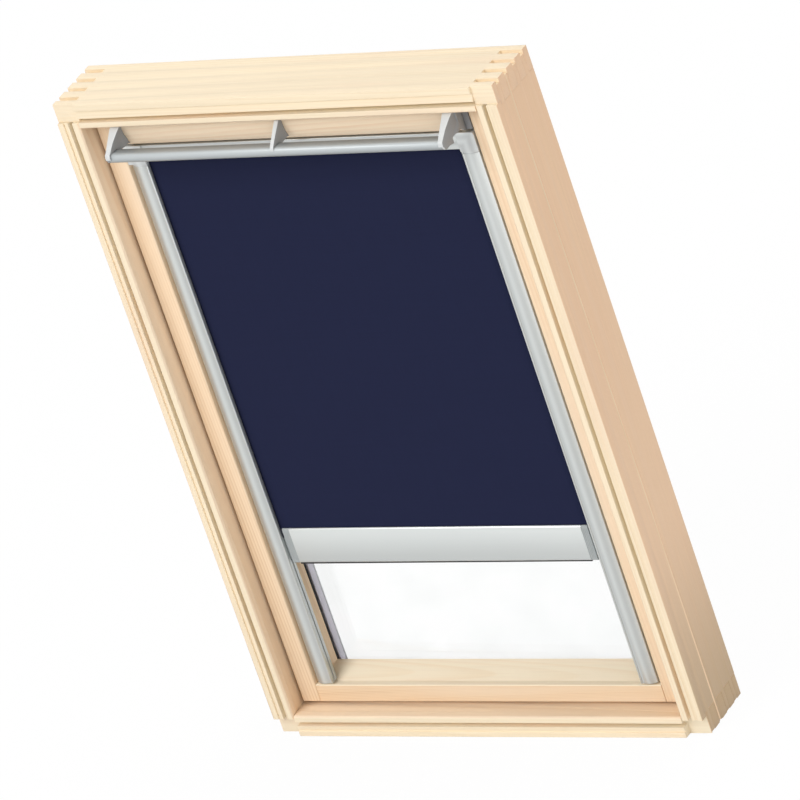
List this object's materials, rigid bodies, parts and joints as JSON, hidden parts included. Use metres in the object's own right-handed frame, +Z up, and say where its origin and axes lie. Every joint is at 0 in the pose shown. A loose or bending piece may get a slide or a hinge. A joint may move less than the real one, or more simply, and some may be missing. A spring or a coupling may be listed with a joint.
{
  "type": "roof window with blackout blind",
  "caption": "Centre-pivot timber roof window with a dark blackout roller blind in aluminium side channels and a control bar across the top of its sash.",
  "frame": {"origin": "centre of the sill's flat underside, half way through the depth of the frame", "axes": "+Z up the window, +Y out of doors, -Y into the room, X across the window"},
  "size_m": [0.66, 0.1283, 0.98],
  "materials": {
    "frame_timber": "satin",
    "sash_timber": "satin",
    "anodised": "satin",
    "grey_plastic": "satin",
    "pale_plastic": "satin",
    "black_rubber": "matte",
    "steel": "satin",
    "spacer": "satin",
    "tube": "satin",
    "brass": "satin",
    "cover": "satin",
    "glass": "gloss",
    "blackout_cloth": "matte",
    "foam": "matte"
  },
  "bodies": {
    "frame": {"frame_head": "frame_timber", "frame_sill": "frame_timber", "frame_jamb_right": "frame_timber", "frame_jamb_left": "frame_timber", "pivot_frame_plate_right": "steel", "pivot_frame_plate_left": "steel", "pivot_washer_right": "brass", "pivot_washer_left": "brass", "lock_striker": "steel"},
    "sash": {"sash_stile_right": "sash_timber", "sash_stile_left": "sash_timber", "sash_bottom_rail": "sash_timber", "sash_top_rail": "sash_timber", "sash_seal": "black_rubber", "pivot_sash_plate_right": "steel", "pivot_sash_plate_left": "steel", "lock_case": "steel", "air_filter": "foam", "flap_pin_right": "steel", "flap_pin_left": "steel", "glass_inner": "glass", "glass_outer": "glass", "glass_spacer": "spacer", "glazing_bedding": "black_rubber", "glazing_outer_seal": "black_rubber", "cover_side_right": "cover", "cover_side_left": "cover", "cover_top": "cover", "cover_bottom": "cover", "blind_channel_right": "anodised", "blind_channel_left": "anodised", "channel_clip_lower_right": "steel", "channel_clip_lower_left": "steel", "channel_clip_middle_right": "steel", "channel_clip_middle_left": "steel", "channel_clip_upper_right": "steel", "channel_clip_upper_left": "steel", "blind_casing": "anodised", "blind_casing_cap_right": "pale_plastic", "blind_casing_cap_left": "pale_plastic"},
    "control": {"vent_flap": "sash_timber", "bracket_left": "grey_plastic", "bracket_middle": "grey_plastic", "bracket_right": "grey_plastic", "control_bar": "anodised"},
    "roller": {"roller_tube": "tube", "roller_wound_cloth": "blackout_cloth", "roller_plug_right": "grey_plastic", "roller_plug_left": "grey_plastic"},
    "blind": {"blind_bar_profile": "anodised", "blind_bar_clamp": "grey_plastic", "blind_bar_weight": "steel", "blind_bar_slider_right": "grey_plastic", "blind_bar_slider_left": "grey_plastic", "blind_fabric": "blackout_cloth"}
  },
  "joints": [
    {"name": "sash_pivot", "type": "hinge", "parent": "frame", "child": "sash", "pos_m": [0, 0.012, 0.49], "axis": [1, 0, 0], "range_deg": [0, 160]},
    {"name": "control_pull", "type": "hinge", "parent": "sash", "child": "control", "pos_m": [0, -0.02, 0.9098], "axis": [1, 0, 0], "range_deg": [0, 28]},
    {"name": "blind_travel", "type": "slide", "parent": "sash", "child": "blind", "axis": [0, 0, 1], "range_m": [-0.188, 0.564], "deforming": ["blind_fabric"]},
    {"name": "roller_turn", "type": "hinge", "parent": "sash", "child": "roller", "pos_m": [0, -0.007, 0.88875], "axis": [1, 0, 0], "range_deg": [-3240, 1080]}
  ],
  "couplings": [
    {"joint": "roller_turn", "follows": "blind_travel", "rad_per_m": -100}
  ]
}
